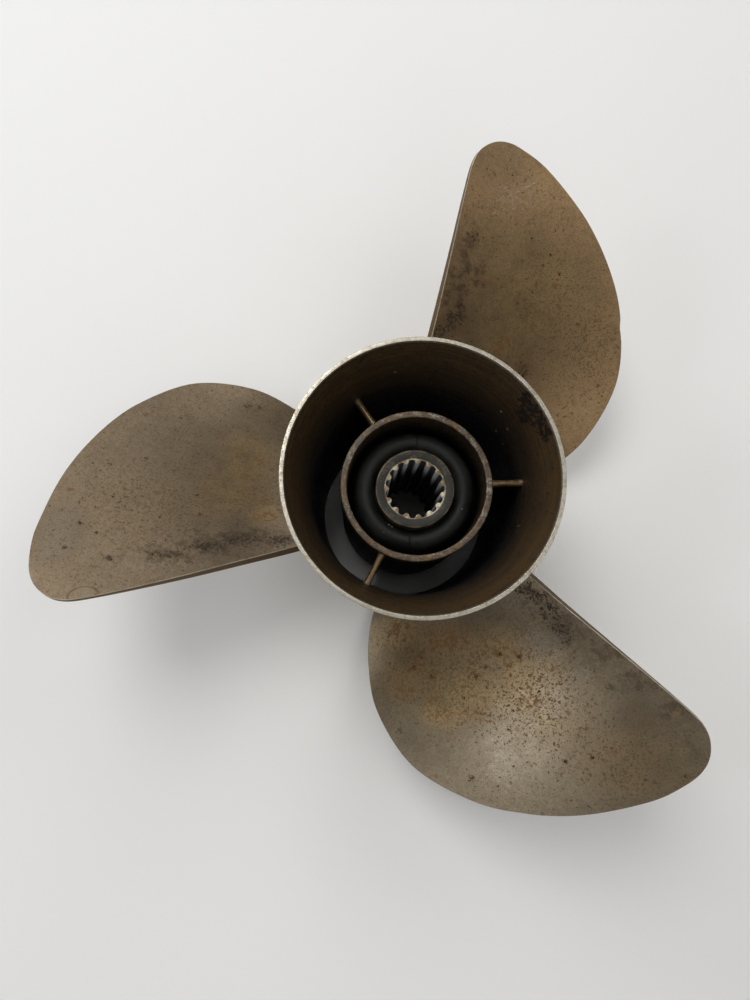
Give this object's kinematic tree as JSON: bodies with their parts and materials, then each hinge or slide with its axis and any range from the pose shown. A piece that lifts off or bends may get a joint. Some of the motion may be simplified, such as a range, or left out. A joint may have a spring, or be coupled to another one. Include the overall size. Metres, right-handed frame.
{
  "type": "outboard motor propeller",
  "caption": "Right-hand cast steel boat propeller with exhaust through its hub, flared aft ring, ribbed inner hub, rubber bushing and splined sleeve.",
  "frame": {"origin": "on the shaft axis, in the plane of the barrel's forward face, on which the part stands", "axes": "+Z along the shaft axis, pointing aft (up as it stands); +X and +Y as the picture's right and up, looking down on the aft end"},
  "size_m": [0.2967, 0.3178, 0.133],
  "materials": {
    "hub_wall": "sooty brown-black exhaust stain over cast steel",
    "flare": "bare machined lip above a stained inside wall",
    "inner_hub": "mottled brown and purple-grey stain",
    "blade": "satin, worn, with rust specks and soot near the roots",
    "rubber": "matt, dusty",
    "sleeve": "bare on the spline ends, dark patina elsewhere"
  },
  "bodies": {
    "root": {"barrel": "hub_wall", "exhaust_flare": "flare", "inner_hub": "inner_hub", "rib_1": "inner_hub", "rib_2": "inner_hub", "rib_3": "inner_hub", "blade_1": "blade", "blade_2": "blade", "blade_3": "blade", "rubber_bushing": "rubber", "spline_sleeve": "sleeve"}
  },
  "joints": []
}
